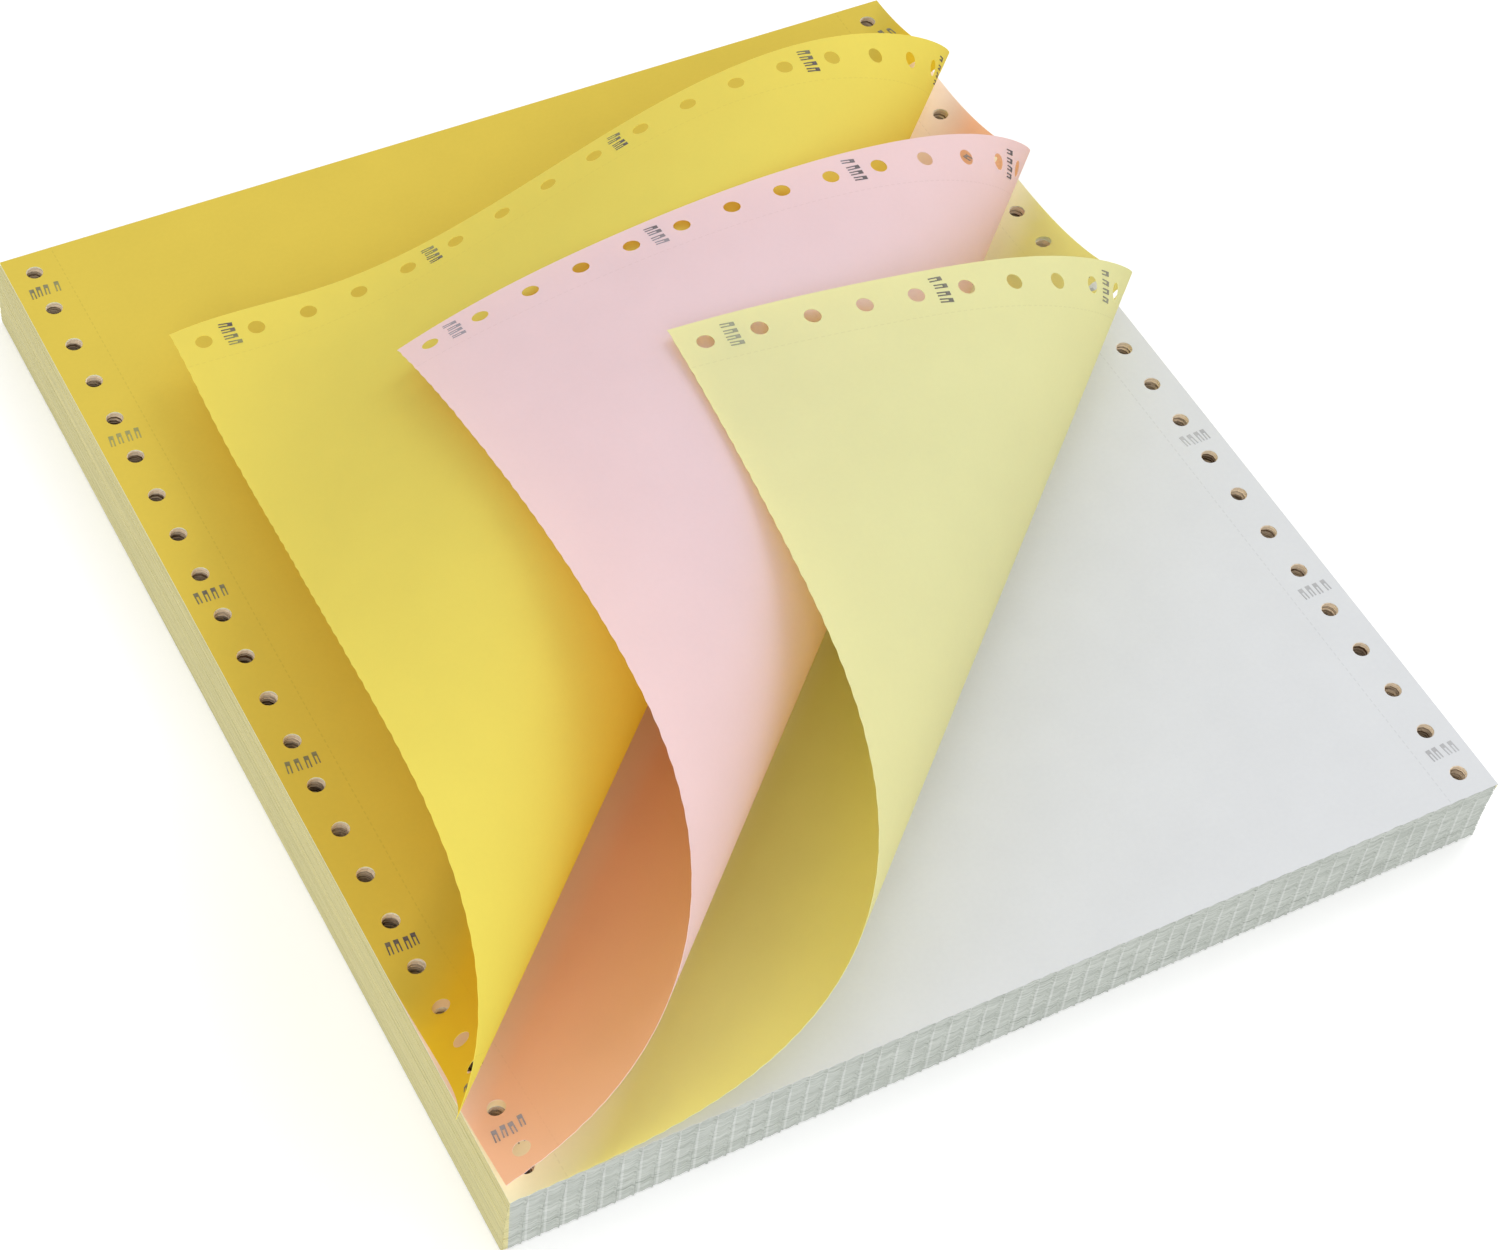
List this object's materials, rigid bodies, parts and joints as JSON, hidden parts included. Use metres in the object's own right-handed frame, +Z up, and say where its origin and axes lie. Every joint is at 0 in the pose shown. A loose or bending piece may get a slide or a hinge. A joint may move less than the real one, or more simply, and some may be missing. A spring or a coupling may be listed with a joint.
{
  "type": "continuous carbonless paper",
  "caption": "Pile of fan-fold carbonless forms with sprocket-hole edges; the top form's green, pink and yellow plies roll back from one near corner over the white ply.",
  "frame": {"origin": "middle of the pile's underside", "axes": "+Z up out of the pile; X across the paper, from one sprocket strip to the other; +Y towards the fold that still holds the top form, -Y towards its burst edge"},
  "size_m": [0.2495, 0.2794, 0.0819],
  "materials": {
    "pile_paper": "matt, four tints of thin paper seen edge on",
    "white_paper": "matt, uncoated",
    "green_paper": "matt, uncoated",
    "pink_paper": "matt, uncoated",
    "yellow_paper": "matt, uncoated"
  },
  "bodies": {
    "root": {"form_pile": "pile_paper", "white_ply": "white_paper", "green_ply": "green_paper", "pink_ply": "pink_paper", "yellow_ply": "yellow_paper"}
  },
  "joints": []
}
